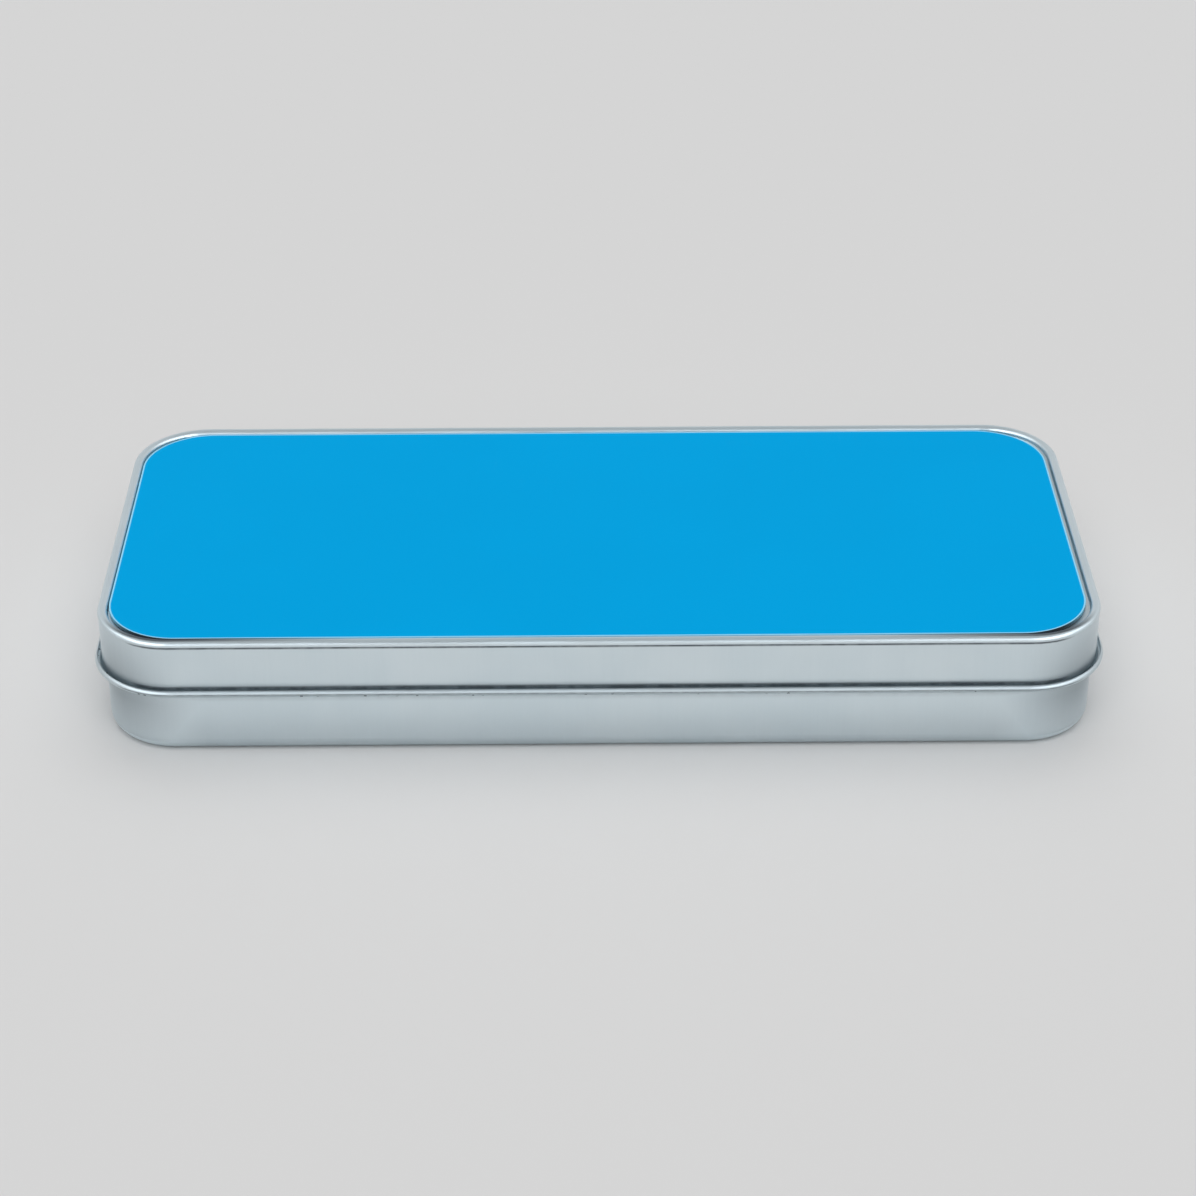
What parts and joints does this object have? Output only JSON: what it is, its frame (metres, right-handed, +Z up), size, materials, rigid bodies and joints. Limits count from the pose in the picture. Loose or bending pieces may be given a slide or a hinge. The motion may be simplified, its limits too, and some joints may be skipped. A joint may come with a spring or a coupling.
{
  "type": "colored pencil tin",
  "caption": "Flat rounded tinplate tin with a hinged lid, a plain blue plate set in the lid, and stacked lift-out trays of sharpened hexagonal coloured pencils.",
  "frame": {"origin": "middle of the footprint, on the surface the tin stands on", "axes": "+X along the tin's length, to the right as seen from its front; +Y from the front to the hinge at the back; +Z up"},
  "size_m": [0.1966, 0.0906, 0.0254],
  "materials": {
    "tinplate": "satin tinplate with a faint grain",
    "wire": "drawn steel wire",
    "printed_plate": "flat blue print on white-coated aluminium sheet",
    "adhesive": "double-sided adhesive sheet",
    "tray_plastic": "vacuum-formed white polystyrene",
    "lemon_lacquer": "gloss lacquer, bare wood on the sharpened cone",
    "lemon_pigment": "waxy coloured lead",
    "yellow_lacquer": "gloss lacquer, bare wood on the sharpened cone",
    "yellow_pigment": "waxy coloured lead",
    "orange_lacquer": "gloss lacquer, bare wood on the sharpened cone",
    "orange_pigment": "waxy coloured lead",
    "red_lacquer": "gloss lacquer, bare wood on the sharpened cone",
    "red_pigment": "waxy coloured lead",
    "pink_lacquer": "gloss lacquer, bare wood on the sharpened cone",
    "pink_pigment": "waxy coloured lead",
    "purple_lacquer": "gloss lacquer, bare wood on the sharpened cone",
    "purple_pigment": "waxy coloured lead",
    "blue_lacquer": "gloss lacquer, bare wood on the sharpened cone",
    "blue_pigment": "waxy coloured lead",
    "sky_blue_lacquer": "gloss lacquer, bare wood on the sharpened cone",
    "sky_blue_pigment": "waxy coloured lead",
    "light_green_lacquer": "gloss lacquer, bare wood on the sharpened cone",
    "light_green_pigment": "waxy coloured lead",
    "dark_green_lacquer": "gloss lacquer, bare wood on the sharpened cone",
    "dark_green_pigment": "waxy coloured lead",
    "brown_lacquer": "gloss lacquer, bare wood on the sharpened cone",
    "brown_pigment": "waxy coloured lead",
    "black_lacquer": "gloss lacquer, bare wood on the sharpened cone",
    "black_pigment": "waxy coloured lead",
    "white_lacquer": "gloss lacquer, bare wood on the sharpened cone",
    "white_pigment": "waxy coloured lead",
    "cream_lacquer": "gloss lacquer, bare wood on the sharpened cone",
    "cream_pigment": "waxy coloured lead",
    "ochre_lacquer": "gloss lacquer, bare wood on the sharpened cone",
    "ochre_pigment": "waxy coloured lead",
    "coral_lacquer": "gloss lacquer, bare wood on the sharpened cone",
    "coral_pigment": "waxy coloured lead",
    "crimson_lacquer": "gloss lacquer, bare wood on the sharpened cone",
    "crimson_pigment": "waxy coloured lead",
    "magenta_lacquer": "gloss lacquer, bare wood on the sharpened cone",
    "magenta_pigment": "waxy coloured lead",
    "violet_lacquer": "gloss lacquer, bare wood on the sharpened cone",
    "violet_pigment": "waxy coloured lead",
    "navy_lacquer": "gloss lacquer, bare wood on the sharpened cone",
    "navy_pigment": "waxy coloured lead",
    "turquoise_lacquer": "gloss lacquer, bare wood on the sharpened cone",
    "turquoise_pigment": "waxy coloured lead",
    "olive_lacquer": "gloss lacquer, bare wood on the sharpened cone",
    "olive_pigment": "waxy coloured lead",
    "umber_lacquer": "gloss lacquer, bare wood on the sharpened cone",
    "umber_pigment": "waxy coloured lead",
    "grey_lacquer": "gloss lacquer, bare wood on the sharpened cone",
    "grey_pigment": "waxy coloured lead"
  },
  "bodies": {
    "base": {"base": "tinplate", "lower_tray": "tray_plastic", "upper_tray": "tray_plastic", "lemon_pencil_casing": "lemon_lacquer", "yellow_pencil_casing": "yellow_lacquer", "orange_pencil_casing": "orange_lacquer", "red_pencil_casing": "red_lacquer", "pink_pencil_casing": "pink_lacquer", "purple_pencil_casing": "purple_lacquer", "blue_pencil_casing": "blue_lacquer", "sky_blue_pencil_casing": "sky_blue_lacquer", "light_green_pencil_casing": "light_green_lacquer", "dark_green_pencil_casing": "dark_green_lacquer", "brown_pencil_casing": "brown_lacquer", "black_pencil_casing": "black_lacquer", "white_pencil_casing": "white_lacquer", "cream_pencil_casing": "cream_lacquer", "ochre_pencil_casing": "ochre_lacquer", "coral_pencil_casing": "coral_lacquer", "crimson_pencil_casing": "crimson_lacquer", "magenta_pencil_casing": "magenta_lacquer", "violet_pencil_casing": "violet_lacquer", "navy_pencil_casing": "navy_lacquer", "turquoise_pencil_casing": "turquoise_lacquer", "olive_pencil_casing": "olive_lacquer", "umber_pencil_casing": "umber_lacquer", "grey_pencil_casing": "grey_lacquer", "lemon_pencil_lead": "lemon_pigment", "yellow_pencil_lead": "yellow_pigment", "orange_pencil_lead": "orange_pigment", "red_pencil_lead": "red_pigment", "pink_pencil_lead": "pink_pigment", "purple_pencil_lead": "purple_pigment", "blue_pencil_lead": "blue_pigment", "sky_blue_pencil_lead": "sky_blue_pigment", "light_green_pencil_lead": "light_green_pigment", "dark_green_pencil_lead": "dark_green_pigment", "brown_pencil_lead": "brown_pigment", "black_pencil_lead": "black_pigment", "white_pencil_lead": "white_pigment", "cream_pencil_lead": "cream_pigment", "ochre_pencil_lead": "ochre_pigment", "coral_pencil_lead": "coral_pigment", "crimson_pencil_lead": "crimson_pigment", "magenta_pencil_lead": "magenta_pigment", "violet_pencil_lead": "violet_pigment", "navy_pencil_lead": "navy_pigment", "turquoise_pencil_lead": "turquoise_pigment", "olive_pencil_lead": "olive_pigment", "umber_pencil_lead": "umber_pigment", "grey_pencil_lead": "grey_pigment"},
    "lid": {"lid": "tinplate", "lid_plate": "printed_plate", "adhesive_sheet": "adhesive", "hinge_wire_left": "wire", "hinge_wire_right": "wire"}
  },
  "joints": [
    {"name": "lid_hinge", "type": "hinge", "parent": "base", "child": "lid", "pos_m": [0, 0.04455, 0.01438], "axis": [-1, 0, 0], "range_deg": [0, 180]}
  ]
}
